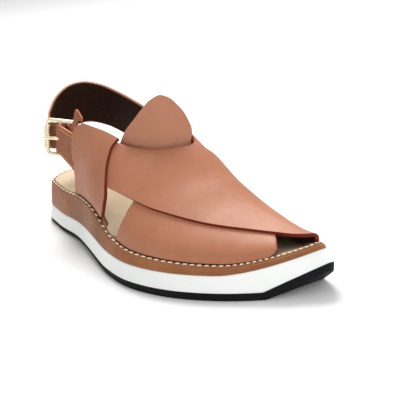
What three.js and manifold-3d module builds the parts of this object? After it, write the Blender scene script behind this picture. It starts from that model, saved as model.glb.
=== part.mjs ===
// Peshawari chappal for the right foot: a flared foam midsole on a thin rubber outsole, a leather wrapped
// wedge with a stitched rim, two wide straps that cross over the foot, two quarters beside the ankle,
// a standing tongue, and a heel strap that closes at a roller buckle on the outer side.
// Millimetres. X runs from heel to toe, the outer side of the foot is at negative Y, Z is up from the floor.
import * as THREE from 'three';
import { mergeVertices } from 'three/addons/utils/BufferGeometryUtils.js';
import Module from 'manifold-3d';

const wasm = await Module();
wasm.setup();

// Driving sizes of the sole
const SOLE_LENGTH = 290;
const BALL_WIDTH = 102.7;
const OUTSOLE_HEEL = 3.6;
const OUTSOLE_BALL = 5;
const MIDSOLE_HEEL = 9.2;
const MIDSOLE_BALL = 10.2;
const WEDGE_HEEL = 17;
const WEDGE_WAIST = 17.4;
const WEDGE_BALL = 6.4;
const WEDGE_TOE = 4.4;
const TOE_SPRING = 14.5;
const ARCH_RISE = 2.4;
const OUTSOLE_UNDERCUT = 0.8;
const MIDSOLE_FLARE = 2.4;
const TOE_FLARE = 2.2;
const RIM_SLOPE = 2.4;
const OUTSOLE_EDGE_ROUND = 0.6;

// Driving sizes of the insole and its recess
const STITCH_LEDGE = 2.2;
const INSOLE_THICKNESS = 1.9;
const RECESS_DEPTH = 1.6;
const CLEARANCE = 0.3;
const FOOT_GAP = 0.7;
const TOE_EASE = 0.6;

// Driving sizes of the leather
const LEATHER = 2.4;
const INSTEP_RISE = 54;
const LAP_STEP = 1.8;
const LAP_RISE = 10;
const QUARTER_HEIGHT = 49.5;
const QUARTER_DROP = 4;
const TONGUE_LEATHER = 1.8;
const TONGUE_HEIGHT = 35;
const TONGUE_TUCK = 12;
const TONGUE_SWELL = 3;
const HEEL_STRAP_RISE = 67;
const HEEL_STRAP_WIDTH = 31;
const TAB_LEATHER = 1.8;
const TAB_WIDTH = 20;

// Driving sizes of the buckle
const BUCKLE_LENGTH = 26;
const BUCKLE_HEIGHT = 24;
const BUCKLE_WIRE = 3.2;
const BUCKLE_TURN = 27.4;
const BUCKLE_LEAN = 9;
const CENTRE_BAR = 2.4;
const CENTRE_BAR_SHARE = 0.435;
const ROLLER_WALL = 0.7;
const PRONG = 2.2;

// How finely the curved pieces are cut into facets
const SIDE_STEPS = 42;
const CROSS_STEPS = 26;
const RING_SIDES = 8;

const point = (x, y, z) => new THREE.Vector3(x, y, z);
const mix = THREE.MathUtils.lerp;
const clamp = THREE.MathUtils.clamp;
const smooth = (t) => THREE.MathUtils.smoothstep(t, 0, 1);

// A smooth run through one column of a table, by the table's first column
function follow(rows, key, column) {
  const keys = rows.map((row) => row[key]);
  const values = rows.map((row) => row[column]);
  const slopes = keys.map((_, i) => {
    if (i === 0 || i === keys.length - 1) return 0;
    const before = (values[i] - values[i - 1]) / (keys[i] - keys[i - 1]);
    const after = (values[i + 1] - values[i]) / (keys[i + 1] - keys[i]);
    return before * after <= 0 ? 0 : 2 * before * after / (before + after);
  });
  return (at) => {
    const last = keys.length - 1;
    if (at <= keys[0]) return values[0];
    if (at >= keys[last]) return values[last];
    let i = 0;
    while (at > keys[i + 1]) i++;
    const span = keys[i + 1] - keys[i];
    const t = (at - keys[i]) / span;
    const rise = values[i + 1] - values[i];
    const a = slopes[i] * span;
    const b = slopes[i + 1] * span;
    return values[i] + t * (a + t * (3 * rise - 2 * a - b + t * (a + b - 2 * rise)));
  };
}

// The sole's outline at its widest, round the foot from the heel by the outer side to the toe and back:
// along is a share of the length, side a share of the ball width with the outer side negative
const OUTLINE = [
  { place: 'heel', along: 0, side: 0 },
  { place: 'outer heel corner', along: 0.052, side: -0.25 },
  { place: 'outer heel', along: 0.138, side: -0.32 },
  { place: 'outer waist', along: 0.276, side: -0.376 },
  { place: 'outer shank', along: 0.414, side: -0.47 },
  { place: 'behind outer ball', along: 0.545, side: -0.552 },
  { place: 'outer ball', along: 0.645, side: -0.566 },
  { place: 'small toe', along: 0.759, side: -0.48 },
  { place: 'outer toe side', along: 0.862, side: -0.3 },
  { place: 'outer toe front', along: 0.938, side: -0.078 },
  { place: 'beside toe tip', along: 0.982, side: 0.1 },
  { place: 'toe tip', along: 1, side: 0.195 },
  { place: 'inner toe corner', along: 0.982, side: 0.265 },
  { place: 'big toe', along: 0.9, side: 0.33 },
  { place: 'inner ball', along: 0.69, side: 0.425 },
  { place: 'behind inner ball', along: 0.552, side: 0.415 },
  { place: 'inner waist', along: 0.35, side: 0.322 },
  { place: 'inner heel', along: 0.138, side: 0.31 },
  { place: 'inner heel corner', along: 0.052, side: 0.225 },
];
const TOE_ROW = OUTLINE.findIndex((row) => row.place === 'toe tip');

// Heights of the sole's layers, each a share between its heel and ball sizes, and how the wedge thins
const LAYERS = [
  { along: 0, ball: 0, wedge: WEDGE_HEEL },
  { along: 0.14, ball: 0, wedge: WEDGE_HEEL },
  { along: 0.3, ball: 0.2, wedge: mix(WEDGE_HEEL, WEDGE_WAIST, 0.7) },
  { along: 0.38, ball: 0.5, wedge: WEDGE_WAIST },
  { along: 0.56, ball: 1, wedge: mix(WEDGE_WAIST, WEDGE_BALL, 0.78) },
  { along: 0.66, ball: 1, wedge: WEDGE_BALL },
  { along: 1, ball: 1, wedge: WEDGE_TOE },
];
const ballShare = follow(LAYERS, 'along', 'ball');
const wedge = follow(LAYERS, 'along', 'wedge');
const ARCH_PLACE = 0.36;
const ARCH_HALF = 0.2;
const SPRING_START = 0.84;
const TREAD_BEND = 0.922;

// The insole's side of the sole bends up smoothly at the toe, the tread in one straight slope
const rise = (along, start, power) => TOE_SPRING * Math.max(0, (along - start) / (1 - start)) ** power;
function soleCurve(x, start, power) {
  const along = clamp(x / SOLE_LENGTH, 0, 1);
  const fromArch = Math.min(Math.abs(along - ARCH_PLACE) / ARCH_HALF, 1);
  return ARCH_RISE * Math.cos(fromArch * Math.PI / 2) ** 2 + rise(along, start, power);
}
const outsole = (x) => mix(OUTSOLE_HEEL, OUTSOLE_BALL, ballShare(x / SOLE_LENGTH));
const midsole = (x) => mix(MIDSOLE_HEEL, MIDSOLE_BALL, ballShare(x / SOLE_LENGTH));
const floorHeight = (x) => soleCurve(x, TREAD_BEND, 1);
const outsoleTop = (x) => floorHeight(x) + outsole(x);
const midsoleTop = (x) => soleCurve(x, SPRING_START, 1.8) + outsole(x) + midsole(x);
const rimHeight = (x) => midsoleTop(x) + wedge(clamp(x / SOLE_LENGTH, 0, 1));
const toeFlare = (x) => MIDSOLE_FLARE + TOE_FLARE * smooth((x / SOLE_LENGTH - 0.93) / 0.07);

// Stations round the outline, as many on the outer side as on the inner side, with their outward directions
const outlineCurve = new THREE.CatmullRomCurve3(
  OUTLINE.map((row) => point(row.along * SOLE_LENGTH, row.side * BALL_WIDTH, 0)), true, 'centripetal');
const TOE_CENTRE = point(0.875 * SOLE_LENGTH, 0.13 * BALL_WIDTH, 0);
const stations = [];
for (let i = 0; i < 2 * SIDE_STEPS; i++) {
  const toe = TOE_ROW / OUTLINE.length;
  const onward = i < SIDE_STEPS;
  const share = onward ? i / SIDE_STEPS : (i - SIDE_STEPS) / SIDE_STEPS;
  const t = onward ? share * toe : toe + share * (1 - toe);
  const at = outlineCurve.getPoint(t);
  const tangent = outlineCurve.getTangent(t);
  const out = point(tangent.y, -tangent.x, 0);
  const fromToe = at.clone().sub(TOE_CENTRE).normalize();
  const round = smooth((at.x / SOLE_LENGTH - 0.88) / 0.08);
  stations.push({ at, out: out.lerp(fromToe, round).normalize() });
}

// One closed loop of the sole, inset from the outline, at a height that depends on the place along the foot
function loop(inset, height) {
  return stations.map(({ at, out }, i) => {
    const by = typeof inset === 'number' ? inset : inset(at.x, i);
    const place = at.clone().addScaledVector(out, -by);
    place.z = height(place.x);
    return place;
  });
}

// A solid between loops, closed at both ends by strips from side to side
function loft(loops) {
  const count = loops[0].length;
  const positions = loops.flat().flatMap((p) => [p.x, p.y, p.z]);
  const faces = [];
  for (let k = 0; k + 1 < loops.length; k++) {
    for (let i = 0; i < count; i++) {
      const a = k * count + i;
      const b = k * count + (i + 1) % count;
      faces.push(a, b, b + count, a, b + count, a + count);
    }
  }
  const cap = (base, up) => {
    for (let i = 0; i < count / 2; i++) {
      const a = base + i;
      const b = base + i + 1;
      const c = base + (count - i - 1) % count;
      const d = base + (count - i) % count;
      const pair = up ? [[a, b, c], [a, c, d]] : [[c, b, a], [d, c, a]];
      for (const face of pair) {
        if (new Set(face).size === 3) faces.push(...face);
      }
    }
  };
  cap(0, false);
  cap((loops.length - 1) * count, true);
  return indexed(positions, faces);
}

function indexed(positions, faces) {
  const geometry = new THREE.BufferGeometry();
  geometry.setAttribute('position', new THREE.Float32BufferAttribute(positions, 3));
  geometry.setIndex(faces);
  return geometry;
}

// Joins and cuts of closed meshes
function toSolid(geometry) {
  const bare = geometry.clone();
  bare.deleteAttribute('normal');
  bare.deleteAttribute('uv');
  const merged = mergeVertices(bare, 1e-4);
  return new wasm.Manifold(new wasm.Mesh({
    numProp: 3,
    vertProperties: new Float32Array(merged.attributes.position.array),
    triVerts: new Uint32Array(merged.index.array),
  }));
}
function toGeometry(solid) {
  const mesh = solid.getMesh();
  return indexed(Array.from(mesh.vertProperties), Array.from(mesh.triVerts));
}
const join = (pieces) => toGeometry(pieces.map(toSolid).reduce((whole, piece) => whole.add(piece)));

// The foot's form over the rim: crown is the height of its ridge as a share of the instep's rise, ridge is
// the ridge's side place and swell how far its inner side bulges, both as shares of the ball width
const LAST = [
  { along: 0.14, crown: 1.7, ridge: 0, swell: 0.055 },
  { along: 0.34, crown: 1.24, ridge: 0.02, swell: 0.06 },
  { along: 0.45, crown: 1, ridge: 0.05, swell: 0.045 },
  { along: 0.55, crown: 0.87, ridge: 0.066, swell: 0.008 },
  { along: 0.655, crown: 0.567, ridge: 0.085, swell: 0 },
  { along: 0.76, crown: 0.361, ridge: 0.12, swell: 0 },
  { along: 0.86, crown: 0.241, ridge: 0.16, swell: 0 },
  { along: 0.95, crown: 0.085, ridge: 0.19, swell: 0 },
  { along: 1, crown: 0.03, ridge: 0.21, swell: 0 },
];
const crown = follow(LAST, 'along', 'crown');
const ridge = follow(LAST, 'along', 'ridge');
const swell = follow(LAST, 'along', 'swell');
const INNER_STEEPNESS = 0.6;
const STRAP_INSET = MIDSOLE_FLARE + RIM_SLOPE + STITCH_LEDGE + LEATHER / 2;

// The side lines on which the straps stand, read from the inset outline
const standing = loop((x) => STRAP_INSET + toeFlare(x) - MIDSOLE_FLARE, () => 0);
function sideLine(points) {
  return (x) => {
    let i = 0;
    while (i + 2 < points.length && x > points[i + 1].x) i++;
    const t = clamp((x - points[i].x) / (points[i + 1].x - points[i].x), 0, 1);
    return mix(points[i].y, points[i + 1].y, t);
  };
}
const rising = (points) => points.filter((p, i) => i === 0 || p.x > points[i - 1].x + 1e-6);
const outerLine = sideLine(rising(standing.slice(0, SIDE_STEPS + 1)));
const innerLine = sideLine(rising([standing[0], ...standing.slice(SIDE_STEPS).reverse()]));

// A place on the foot's form: across runs from 0 at the outer rim over the crown to 1 at the inner rim
function onLast(x, across) {
  const along = x / SOLE_LENGTH;
  const middle = ridge(along) * BALL_WIDTH;
  const reach = across < 0.5 ? middle - outerLine(x) : innerLine(x) - middle;
  const turn = across * Math.PI;
  const foot = rimHeight(x) + FOOT_GAP;
  const steep = across < 0.5 ? 1 : mix(INNER_STEEPNESS, 1, smooth((along - 0.45) / 0.3));
  const side = Math.sign(Math.cos(turn)) * Math.abs(Math.cos(turn)) ** steep;
  const bulge = across < 0.5 ? 0 : -swell(along) * BALL_WIDTH * Math.sin(2 * turn);
  return point(x, middle - reach * side + bulge, foot + INSTEP_RISE * crown(along) * Math.sin(turn));
}
// The across value at a height over the rim, on the outer side
const acrossAt = (x, height) => {
  const share = height / (INSTEP_RISE * crown(x / SOLE_LENGTH));
  return Math.asin(clamp(share, 0, 1)) / Math.PI;
};

// A leather sheet of even thickness over a grid of places; lift raises its middle off the form
function sheet(place, across, along, thickness, lift = () => 0, flip = false) {
  const step = 1e-3;
  const outside = [];
  const inside = [];
  for (let i = 0; i <= across; i++) {
    for (let j = 0; j <= along; j++) {
      const u = i / across;
      const v = j / along;
      const du = place(Math.min(u + step, 1), v).sub(place(Math.max(u - step, 0), v));
      const dv = place(u, Math.min(v + step, 1)).sub(place(u, Math.max(v - step, 0)));
      const out = du.cross(dv).normalize().multiplyScalar(flip ? -1 : 1);
      const middle = place(u, v);
      const raise = lift(u, v, middle);
      outside.push(middle.clone().addScaledVector(out, raise + thickness / 2));
      inside.push(middle.clone().addScaledVector(out, raise - thickness / 2));
    }
  }
  const positions = [...outside, ...inside].flatMap((p) => [p.x, p.y, p.z]);
  const row = along + 1;
  const under = outside.length;
  const faces = [];
  const quad = (a, b, c, d) => (flip ? faces.push(c, b, a, d, c, a) : faces.push(a, b, c, a, c, d));
  for (let i = 0; i < across; i++) {
    for (let j = 0; j < along; j++) {
      const a = i * row + j;
      quad(a, a + row, a + row + 1, a + 1);
      quad(under + a + 1, under + a + row + 1, under + a + row, under + a);
    }
  }
  for (let i = 0; i < across; i++) {
    const a = i * row;
    const b = a + along;
    quad(a + row, a, under + a, under + a + row);
    quad(b, b + row, under + b + row, under + b);
  }
  for (let j = 0; j < along; j++) {
    const b = across * row + j;
    quad(j, j + 1, under + j + 1, under + j);
    quad(b + 1, b, under + b, under + b + 1);
  }
  return indexed(positions, faces);
}

// The crossing straps: across is measured from the strap's tail, which hides inside the quarter,
// and the edges are shares of the length
const CROSS_STRAP = [
  { across: 0, rear: 0.29, frontOver: 0.385, frontUnder: 0.385 },
  { across: 0.1, rear: 0.335, frontOver: 0.43, frontUnder: 0.43 },
  { across: 0.138, rear: 0.354, frontOver: 0.474, frontUnder: 0.481 },
  { across: 0.17, rear: 0.372, frontOver: 0.522, frontUnder: 0.529 },
  { across: 0.195, rear: 0.386, frontOver: 0.571, frontUnder: 0.57 },
  { across: 0.231, rear: 0.404, frontOver: 0.631, frontUnder: 0.616 },
  { across: 0.262, rear: 0.418, frontOver: 0.686, frontUnder: 0.652 },
  { across: 0.286, rear: 0.43, frontOver: 0.732, frontUnder: 0.685 },
  { across: 0.31, rear: 0.457, frontOver: 0.777, frontUnder: 0.71 },
  { across: 0.334, rear: 0.483, frontOver: 0.817, frontUnder: 0.73 },
  { across: 0.357, rear: 0.506, frontOver: 0.846, frontUnder: 0.752 },
  { across: 0.382, rear: 0.528, frontOver: 0.884, frontUnder: 0.77 },
  { across: 0.411, rear: 0.545, frontOver: 0.927, frontUnder: 0.788 },
  { across: 0.441, rear: 0.555, frontOver: 0.944, frontUnder: 0.806 },
  { across: 0.467, rear: 0.558, frontOver: 0.951, frontUnder: 0.824 },
  { across: 0.5, rear: 0.563, frontOver: 0.955, frontUnder: 0.845 },
  { across: 0.561, rear: 0.568, frontOver: 0.957, frontUnder: 0.873 },
  { across: 0.62, rear: 0.573, frontOver: 0.959, frontUnder: 0.89 },
  { across: 0.7, rear: 0.583, frontOver: 0.961, frontUnder: 0.907 },
  { across: 0.793, rear: 0.594, frontOver: 0.962, frontUnder: 0.917 },
  { across: 0.872, rear: 0.591, frontOver: 0.963, frontUnder: 0.922 },
  { across: 0.933, rear: 0.58, frontOver: 0.963, frontUnder: 0.921 },
  { across: 0.983, rear: 0.568, frontOver: 0.963, frontUnder: 0.917 },
  { across: 1, rear: 0.556, frontOver: 0.963, frontUnder: 0.915 },
];
const UNDER_STRAP_FRONT = 0.95;
const OVER_STRAP_FRONT = 1.1;
const strapRear = follow(CROSS_STRAP, 'across', 'rear');
const strapFront = {
  over: follow(CROSS_STRAP, 'across', 'frontOver'),
  under: follow(CROSS_STRAP, 'across', 'frontUnder'),
};

function crossStrap(kind) {
  const over = kind === 'over';
  const place = (u, v) => onLast(mix(strapRear(u), strapFront[kind](u), v) * SOLE_LENGTH, over ? u : 1 - u);
  const lift = (u, v, middle) => {
    const clearOfQuarter = smooth((middle.x / SOLE_LENGTH - 0.49) / 0.07);
    const clearOfRim = smooth((middle.z - rimHeight(middle.x)) / LAP_RISE);
    return over ? LAP_STEP * clearOfQuarter * clearOfRim : 0;
  };
  return sheet(place, CROSS_STEPS, 14, LEATHER, lift, over);
}

// The quarters: height is a share of the quarter's height, the edges are shares of the length
const QUARTER = [
  { height: 0, rear: 0.248, front: 0.458 },
  { height: 0.1, rear: 0.262, front: 0.488 },
  { height: 0.25, rear: 0.278, front: 0.502 },
  { height: 0.38, rear: 0.277, front: 0.503 },
  { height: 0.54, rear: 0.264, front: 0.488 },
  { height: 0.7, rear: 0.259, front: 0.468 },
  { height: 0.82, rear: 0.261, front: 0.457 },
  { height: 0.92, rear: 0.27, front: 0.451 },
  { height: 1, rear: 0.305, front: 0.452 },
];
const INNER_QUARTER = 0.93;
const quarterRear = follow(QUARTER, 'height', 'rear');
const quarterFront = follow(QUARTER, 'height', 'front');

const onQuarter = (side) => (u, v) => {
  const x = mix(quarterRear(u), quarterFront(u), v) * SOLE_LENGTH;
  const outer = side === 'outer';
  const tall = QUARTER_HEIGHT * (outer ? 1 : INNER_QUARTER);
  const across = acrossAt(x, u * (tall - QUARTER_DROP * v));
  return onLast(x, outer ? across : 1 - across);
};
function quarter(side) {
  const lift = (u, v, middle) => LAP_STEP * smooth((middle.z - rimHeight(middle.x)) / LAP_RISE);
  return sheet(onQuarter(side), 14, 10, LEATHER, lift, side === 'outer');
}

// The tongue: tucked under the straps over the instep, then standing round the front of the shin.
// span runs over its width, height is a share of its full height there, back and side how far it leans
// to the heel and to the inner side for each millimetre it rises
const TONGUE = [
  { span: 0, height: 0.03, back: 0.4, side: 0 },
  { span: 0.06, height: 0.17, back: 0.4, side: 0 },
  { span: 0.2, height: 0.52, back: 0.38, side: 0 },
  { span: 0.3, height: 0.76, back: 0.32, side: 0 },
  { span: 0.4, height: 0.94, back: 0.26, side: 0 },
  { span: 0.49, height: 1, back: 0.22, side: 0.02 },
  { span: 0.57, height: 0.92, back: 0.2, side: 0.08 },
  { span: 0.65, height: 0.66, back: 0.18, side: 0.18 },
  { span: 0.74, height: 0.38, back: 0.15, side: 0.3 },
  { span: 0.86, height: 0.19, back: 0.15, side: 0.4 },
  { span: 1, height: 0.08, back: 0.15, side: 0.5 },
];
const TONGUE_START = 0.305;
const TONGUE_END = 0.62;
const TONGUE_ROOT = 0.3;
const TONGUE_SWELL_RISE = 0.35;
const tongueShare = follow(TONGUE, 'span', 'height');
const tongueBack = follow(TONGUE, 'span', 'back');
const tongueSide = follow(TONGUE, 'span', 'side');
function tongue() {
  const depth = LEATHER / 2 + 5 * CLEARANCE + TONGUE_LEATHER / 2;
  const buried = (across, ahead, below) => {
    const x = strapRear(Math.min(across, 1 - across)) * SOLE_LENGTH + ahead;
    const here = onLast(x, across);
    const du = onLast(x + 1, across).sub(here);
    const dv = onLast(x, across + 0.01).sub(here);
    return here.addScaledVector(dv.cross(du).normalize(), below);
  };
  const place = (u, v) => {
    const across = mix(TONGUE_START, TONGUE_END, u);
    const ahead = mix(TONGUE_TUCK, -4 * CLEARANCE, Math.min(v / TONGUE_ROOT, 1));
    if (v < TONGUE_ROOT) return buried(across, ahead, depth);
    const rise = (v - TONGUE_ROOT) / (1 - TONGUE_ROOT) * TONGUE_HEIGHT * tongueShare(u);
    const free = smooth(rise / (TONGUE_SWELL_RISE * TONGUE_HEIGHT));
    const root = buried(across, ahead, depth - TONGUE_SWELL * free);
    return root.add(point(-tongueBack(u) * rise, tongueSide(u) * free * rise, rise));
  };
  return sheet(place, 26, 14, TONGUE_LEATHER, () => 0, true);
}

// The heel strap's route round the heel, from inside the inner quarter to its pointed tail: along is a share
// of the length, side a share of the ball width, rise the upper edge's height over the rim and width the
// strap's width there as shares of their sizes, lean how far it leans in for each millimetre it rises
const HEEL_ROUTE = [
  { place: 'inner quarter', along: 0.334, side: 0.231, rise: 0.707, width: 0.9, lean: 0 },
  { place: 'inner quarter rear', along: 0.297, side: 0.248, rise: 0.758, width: 0.97, lean: 0 },
  { place: 'inner side', along: 0.238, side: 0.257, rise: 0.822, width: 1, lean: 0 },
  { place: 'inner ankle', along: 0.162, side: 0.257, rise: 0.892, width: 1, lean: 0 },
  { place: 'inner heel', along: 0.107, side: 0.22, rise: 0.952, width: 1, lean: 0 },
  { place: 'inner back', along: 0.076, side: 0.131, rise: 1, width: 1, lean: 0 },
  { place: 'back', along: 0.071, side: 0.019, rise: 0.994, width: 1, lean: 0 },
  { place: 'outer back', along: 0.084, side: -0.093, rise: 0.937, width: 0.93, lean: 0 },
  { place: 'outer heel', along: 0.107, side: -0.185, rise: 0.869, width: 0.82, lean: 0.05 },
  { place: 'outer ankle', along: 0.148, side: -0.278, rise: 0.773, width: 0.7, lean: 0.14 },
  { place: 'inside the fold', along: 0.189, side: -0.218, rise: 0.722, width: 0.58, lean: 0.15 },
  { place: 'over the front bar', along: 0.24, side: -0.241, rise: 0.71, width: 0.56, lean: 0.14 },
  { place: 'tail', along: 0.253, side: -0.23, rise: 0.8, width: 0.5, lean: 0.15 },
  { place: 'tail tip', along: 0.264, side: -0.216, rise: 0.885, width: 0.3, lean: 0.15 },
  { place: 'tail end', along: 0.281, side: -0.203, rise: 0.8, width: 0.08, lean: 0.15 },
];
// A place over the sole: shares of the length and ball width, and a share of the heel strap's rise
const overSole = (along, side, rise) => {
  const x = along * SOLE_LENGTH;
  return point(x, side * BALL_WIDTH, rimHeight(x) + rise * HEEL_STRAP_RISE);
};
function heelStrap() {
  const track = (read) => new THREE.CatmullRomCurve3(HEEL_ROUTE.map(read), false, 'centripetal');
  const spine = track((row) => overSole(row.along, row.side, row.rise));
  const shape = track((row, i) => point(row.width, i / HEEL_ROUTE.length, row.lean));
  const place = (u, v) => {
    const top = spine.getPoint(u);
    const { x: share, z: lean } = shape.getPoint(u);
    const width = share * HEEL_STRAP_WIDTH;
    const side = Math.sign(top.y) * (v - 0.5) * width * lean;
    return point(top.x, top.y + side, top.z - v * width);
  };
  return sheet(place, 48, 4, LEATHER, () => 0, true);
}

// The buckle stands on its roller end, turned towards the foot and leaning with the quarter
const rollerCentre = overSole(0.1603, -0.3194, 0.594);
const leaning = THREE.MathUtils.degToRad(BUCKLE_LEAN);
const buckleUp = point(0, Math.sin(leaning), Math.cos(leaning));
const turned = THREE.MathUtils.degToRad(BUCKLE_TURN);
const buckleOn = point(Math.cos(turned), Math.sin(turned), 0);
buckleOn.addScaledVector(buckleUp, -buckleOn.dot(buckleUp)).normalize();
const buckleOut = buckleOn.clone().cross(buckleUp).normalize();
const inBuckle = (on, up, out = 0) => rollerCentre.clone()
  .addScaledVector(buckleOn, on).addScaledVector(buckleUp, up).addScaledVector(buckleOut, out);

// A round bar along a route; closed routes join up with themselves
function wire(route, radius, closed = false) {
  const count = route.length;
  const positions = [];
  let side = null;
  for (let i = 0; i < count; i++) {
    const before = route[closed ? (i + count - 1) % count : Math.max(i - 1, 0)];
    const after = route[closed ? (i + 1) % count : Math.min(i + 1, count - 1)];
    const ahead = after.clone().sub(before).normalize();
    side = (side ?? buckleOut.clone()).addScaledVector(ahead, -(side ?? buckleOut).dot(ahead)).normalize();
    const up = ahead.clone().cross(side);
    for (let k = 0; k < RING_SIDES; k++) {
      const turn = k / RING_SIDES * 2 * Math.PI;
      const p = route[i].clone().addScaledVector(side, radius * Math.cos(turn));
      p.addScaledVector(up, radius * Math.sin(turn));
      positions.push(p.x, p.y, p.z);
    }
  }
  const faces = [];
  const rings = closed ? count : count - 1;
  for (let i = 0; i < rings; i++) {
    for (let k = 0; k < RING_SIDES; k++) {
      const a = i * RING_SIDES + k;
      const b = i * RING_SIDES + (k + 1) % RING_SIDES;
      const c = ((i + 1) % count) * RING_SIDES + (k + 1) % RING_SIDES;
      const d = ((i + 1) % count) * RING_SIDES + k;
      faces.push(a, b, c, a, c, d);
    }
  }
  if (!closed) {
    const last = (count - 1) * RING_SIDES;
    for (let k = 1; k + 1 < RING_SIDES; k++) faces.push(0, k + 1, k, last, last + k, last + k + 1);
  }
  return indexed(positions, faces);
}

function buckleFrame() {
  const half = BUCKLE_HEIGHT / 2;
  const corner = 3;
  const loopRoute = [];
  const corners = [[0, -half], [BUCKLE_LENGTH, -half], [BUCKLE_LENGTH, half], [0, half]];
  corners.forEach(([on, up], i) => {
    const start = -Math.PI + i * Math.PI / 2;
    const on0 = on + (on > 0 ? -corner : corner);
    const up0 = up + (up > 0 ? -corner : corner);
    for (let k = 0; k <= 3; k++) {
      const turn = start + k / 3 * Math.PI / 2;
      loopRoute.push(inBuckle(on0 + corner * Math.cos(turn), up0 + corner * Math.sin(turn)));
    }
  });
  const bar = [-half, half].map((up) => inBuckle(CENTRE_BAR_SHARE * BUCKLE_LENGTH, up));
  return join([wire(loopRoute, BUCKLE_WIRE / 2, true), wire(bar, CENTRE_BAR / 2)]);
}

// The roller turns on the frame's outer bar, so it is a sleeve open at both ends
function buckleRoller() {
  const half = BUCKLE_HEIGHT / 2 - 3.6;
  const inner = BUCKLE_WIRE / 2 + CLEARANCE;
  const outer = inner + ROLLER_WALL;
  const positions = [];
  const faces = [];
  const rows = [[inner, -half], [outer, -half], [outer, half], [inner, half]];
  const sides = 12;
  for (const [radius, up] of rows) {
    for (let k = 0; k < sides; k++) {
      const turn = k / sides * 2 * Math.PI;
      const p = inBuckle(radius * Math.cos(turn), up, radius * Math.sin(turn));
      positions.push(p.x, p.y, p.z);
    }
  }
  for (let i = 0; i < 4; i++) {
    for (let k = 0; k < sides; k++) {
      const a = i * sides + k;
      const b = i * sides + (k + 1) % sides;
      const c = ((i + 1) % 4) * sides + (k + 1) % sides;
      const d = ((i + 1) % 4) * sides + k;
      faces.push(a, c, b, a, d, c);
    }
  }
  return indexed(positions, faces);
}

// The prong: an eye round the centre bar, then a pin that lies on the roller
const rollerOutside = BUCKLE_WIRE / 2 + CLEARANCE + ROLLER_WALL;
function buckleProng() {
  const pivot = CENTRE_BAR_SHARE * BUCKLE_LENGTH;
  const eye = CENTRE_BAR / 2 + CLEARANCE + PRONG / 2;
  const rest = rollerOutside + CLEARANCE + PRONG / 2;
  const route = [];
  const eyeSteps = 9;
  for (let k = 0; k <= eyeSteps; k++) {
    const turn = mix(-1.3, 0.5, k / eyeSteps) * Math.PI;
    route.push(inBuckle(pivot + eye * Math.cos(turn), 0, eye * Math.sin(turn)));
  }
  route.push(inBuckle(pivot * 0.55, 0, rest));
  route.push(inBuckle(0, 0, rest));
  route.push(inBuckle(-rollerOutside * 0.9, 0, rest - 0.3 * PRONG));
  return wire(route, PRONG / 2);
}

// The tab: leather folded round the centre bar, with a slot for the prong, that runs on to the quarter
function buckleTab() {
  const pivot = CENTRE_BAR_SHARE * BUCKLE_LENGTH;
  const bore = CENTRE_BAR / 2 + CLEARANCE;
  const sleeve = (radius, reach) => {
    const route = [-reach, reach].map((up) => inBuckle(pivot, up));
    return toSolid(wire(route, radius));
  };
  const half = TAB_WIDTH / 2;
  const slotHalf = PRONG / 2 + CLEARANCE;
  const slotReach = bore + 2 * TAB_LEATHER + PRONG;
  const slot = wire([-slotHalf, slotHalf].map((up) => inBuckle(pivot, up)), slotReach);
  const out = bore + TAB_LEATHER / 2;
  const place = (u, v) => {
    const start = inBuckle(pivot, mix(half, -half, v), out);
    const end = onQuarter('outer')(mix(0.86, 0.34, v), 0);
    end.add(point(-4 * CLEARANCE, -LAP_STEP, 0));
    return start.lerp(end, u);
  };
  const leaf = toSolid(sheet(place, 8, 10, TAB_LEATHER, () => 0, true));
  const folded = sleeve(bore + TAB_LEATHER, half).add(leaf);
  return toGeometry(folded.subtract(sleeve(bore, half + 1)).subtract(toSolid(slot)));
}

function finish(name, color, roughness, metalness = 0) {
  return new THREE.MeshStandardMaterial({ name, color, roughness, metalness });
}
const MATERIALS = {
  rubber: finish('rubber', 0x2d2d32, 0.8),
  foam: finish('foam', 0xf2f4f2, 0.7),
  rimLeather: finish('rim leather', 0xa57350, 0.6),
  insoleLeather: finish('insole leather', 0xe1c89b, 0.75),
  upperLeather: finish('upper leather', 0xb97d62, 0.55),
  liningLeather: finish('lining leather', 0x3c231c, 0.8),
  brass: finish('pale brass', 0xf0e2b8, 0.25, 1),
};

// The group stands on the floor with the middle of its footprint at the origin
const sides = stations.map(({ at }) => at.y);
const group = new THREE.Group();
group.position.set(-SOLE_LENGTH / 2, -(Math.min(...sides) + Math.max(...sides)) / 2, 0);
function add(name, geometry, material) {
  const mesh = new THREE.Mesh(geometry, material);
  mesh.name = name;
  group.add(mesh);
}

const ledge = (x, i) => {
  const along = x / SOLE_LENGTH;
  const front = i < SIDE_STEPS ? UNDER_STRAP_FRONT : OVER_STRAP_FRONT;
  const quarterFoot = smooth((along - 0.215) / 0.02) * smooth((0.5 - along) / 0.02);
  const strapFoot = smooth((along - 0.53) / 0.02) * smooth((front - along) / 0.02);
  return STITCH_LEDGE + (LEATHER + 2 * CLEARANCE) * Math.max(quarterFoot, strapFoot);
};
const rimInset = (x) => toeFlare(x) + RIM_SLOPE;
const recessInset = (x, i) => rimInset(x) + ledge(x, i);
const toeEase = (x) => TOE_EASE * smooth((x / SOLE_LENGTH - 0.9) / 0.05);
const insoleInset = (x, i) => recessInset(x, i) + CLEARANCE + toeEase(x);

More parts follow.
